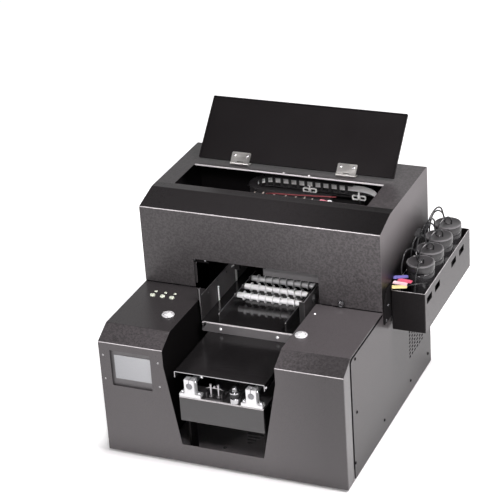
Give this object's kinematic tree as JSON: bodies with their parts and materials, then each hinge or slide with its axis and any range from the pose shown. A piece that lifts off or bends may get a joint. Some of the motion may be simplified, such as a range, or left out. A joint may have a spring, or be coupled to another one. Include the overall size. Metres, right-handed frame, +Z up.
{
  "type": "flatbed uv printer",
  "caption": "Desktop flatbed UV printer: sliding table with roller bottle fixture, hinged top hatch, touch screen and a side box of ink bottles.",
  "frame": {"origin": "middle of the footprint, on the floor the feet stand on", "axes": "+Z up, -Y out of the printer's front, +X towards the ink bottle box"},
  "size_m": [0.549, 0.5382, 0.5326],
  "materials": {
    "coat_textured": "fine textured powder coat",
    "coat_gloss": "smooth black, satin to glossy",
    "steel_grey": "grey painted steel",
    "steel_chrome": "bright plated",
    "alu": "brushed",
    "rubber_black": "matte",
    "plastic_black": "matte",
    "plastic_gloss": "glossy, dark and slightly see-through",
    "plastic_pale": "pale",
    "plastic_red": "glossy",
    "plastic_white": "matte",
    "plastic_grey": "matte",
    "screen": "glossy panel in a matte frame",
    "board": "green circuit board"
  },
  "bodies": {
    "chassis": {"chassis_pan": "steel_grey", "crossbar_front": "steel_grey", "crossbar_rear": "steel_grey", "carriage_rail": "steel_grey", "foot_front_left": "rubber_black", "foot_front_right": "rubber_black", "foot_rear_left": "rubber_black", "foot_rear_right": "rubber_black", "table_belt": "rubber_black", "front_cover": "coat_textured", "side_panel_left": "coat_textured", "side_panel_right": "coat_textured", "hood": "coat_textured", "tank_box": "coat_textured", "touch_screen": "screen", "shaft_support_left": "alu", "shaft_support_right": "alu", "guide_rod_left": "steel_chrome", "guide_rod_right": "steel_chrome", "belt_tensioner": "steel_chrome", "hinge_base_left": "steel_chrome", "hinge_base_right": "steel_chrome", "button_bezel_left": "steel_chrome", "button_bezel_right": "steel_chrome", "table_motor": "plastic_black", "cable_chain": "plastic_black", "ink_tubes": "plastic_black", "power_inlet": "plastic_black", "ribbon_cable": "plastic_white", "circuit_board": "board", "ink_bottle_1": "plastic_gloss", "ink_bottle_2": "plastic_gloss", "ink_bottle_3": "plastic_gloss", "ink_bottle_4": "plastic_gloss", "indicator_lamps": "plastic_pale"},
    "table": {"table_plate": "alu", "table_cover": "coat_gloss", "bearing_bridge": "alu", "fixture_tray": "coat_gloss", "fixture_front_bar": "steel_grey", "fixture_wall_left": "coat_gloss", "fixture_wall_right": "coat_gloss"},
    "carriage": {"print_carriage": "plastic_grey", "print_head": "plastic_black", "uv_lamp": "alu"},
    "hatch_lid": {"lid": "coat_gloss", "hinge_leaf_left": "steel_chrome", "hinge_leaf_right": "steel_chrome"},
    "front_roller": {"roller_front": "steel_chrome"},
    "middle_roller": {"roller_middle": "steel_chrome"},
    "rear_roller": {"roller_rear": "steel_chrome"},
    "idler": {"table_idler": "alu"},
    "drive_pulley": {"table_pulley": "alu"},
    "left_button": {"push_button_left": "steel_chrome"},
    "right_button": {"push_button_right": "steel_chrome"},
    "left_key": {"key_left": "plastic_pale"},
    "middle_key": {"key_middle": "plastic_pale"},
    "right_key": {"key_right": "plastic_pale"},
    "rocker": {"rocker_switch": "plastic_red"},
    "lock": {"hood_lock": "plastic_black"}
  },
  "joints": [
    {"name": "table_slide", "type": "slide", "parent": "chassis", "child": "table", "axis": [0, 1, 0], "range_m": [-0.1, 0.08]},
    {"name": "carriage_slide", "type": "slide", "parent": "chassis", "child": "carriage", "axis": [1, 0, 0], "range_m": [-0.19, 0.09]},
    {"name": "lid_hinge", "type": "hinge", "parent": "chassis", "child": "hatch_lid", "pos_m": [-0.0335, 0.13485, 0.4345], "axis": [1, 0, 0], "range_deg": [0, 134.7]},
    {"name": "roller_front_spin", "type": "hinge", "parent": "table", "child": "front_roller", "pos_m": [-0.0345, -0.01915, 0.232], "axis": [1, 0, 0], "continuous": true},
    {"name": "roller_middle_spin", "type": "hinge", "parent": "table", "child": "middle_roller", "pos_m": [-0.0345, 0.01785, 0.232], "axis": [1, 0, 0], "continuous": true},
    {"name": "roller_rear_spin", "type": "hinge", "parent": "table", "child": "rear_roller", "pos_m": [-0.0345, 0.05285, 0.232], "axis": [1, 0, 0], "continuous": true},
    {"name": "idler_spin", "type": "hinge", "parent": "chassis", "child": "idler", "pos_m": [-0.01, -0.25715, 0.162], "axis": [0, 0, 1], "continuous": true},
    {"name": "pulley_spin", "type": "hinge", "parent": "chassis", "child": "drive_pulley", "pos_m": [-0.01, 0.16285, 0.162], "axis": [0, 0, 1], "continuous": true},
    {"name": "left_button_press", "type": "slide", "parent": "chassis", "child": "left_button", "axis": [0, 0, -1], "range_m": [0, 0.003], "stiffness_N_per_m": 400, "springref_m": -0.0015},
    {"name": "right_button_press", "type": "slide", "parent": "chassis", "child": "right_button", "axis": [0, 0, -1], "range_m": [0, 0.003], "stiffness_N_per_m": 400, "springref_m": -0.0015},
    {"name": "left_key_press", "type": "slide", "parent": "chassis", "child": "left_key", "axis": [0, 0, -1], "range_m": [0, 0.0015], "stiffness_N_per_m": 300, "springref_m": -0.001},
    {"name": "middle_key_press", "type": "slide", "parent": "chassis", "child": "middle_key", "axis": [0, 0, -1], "range_m": [0, 0.0015], "stiffness_N_per_m": 300, "springref_m": -0.001},
    {"name": "right_key_press", "type": "slide", "parent": "chassis", "child": "right_key", "axis": [0, 0, -1], "range_m": [0, 0.0015], "stiffness_N_per_m": 300, "springref_m": -0.001},
    {"name": "rocker_tilt", "type": "hinge", "parent": "chassis", "child": "rocker", "pos_m": [0.1465, 0.21585, 0.057], "axis": [1, 0, 0], "range_deg": [0, 14]},
    {"name": "lock_turn", "type": "hinge", "parent": "chassis", "child": "lock", "pos_m": [0.1255, -0.05715, 0.266], "axis": [0, 1, 0], "range_deg": [0, 90]}
  ],
  "couplings": [
    {"joint": "roller_middle_spin", "follows": "roller_front_spin", "ratio": 1},
    {"joint": "roller_rear_spin", "follows": "roller_front_spin", "ratio": 1},
    {"joint": "idler_spin", "follows": "table_slide", "rad_per_m": -111},
    {"joint": "pulley_spin", "follows": "table_slide", "rad_per_m": -111}
  ]
}
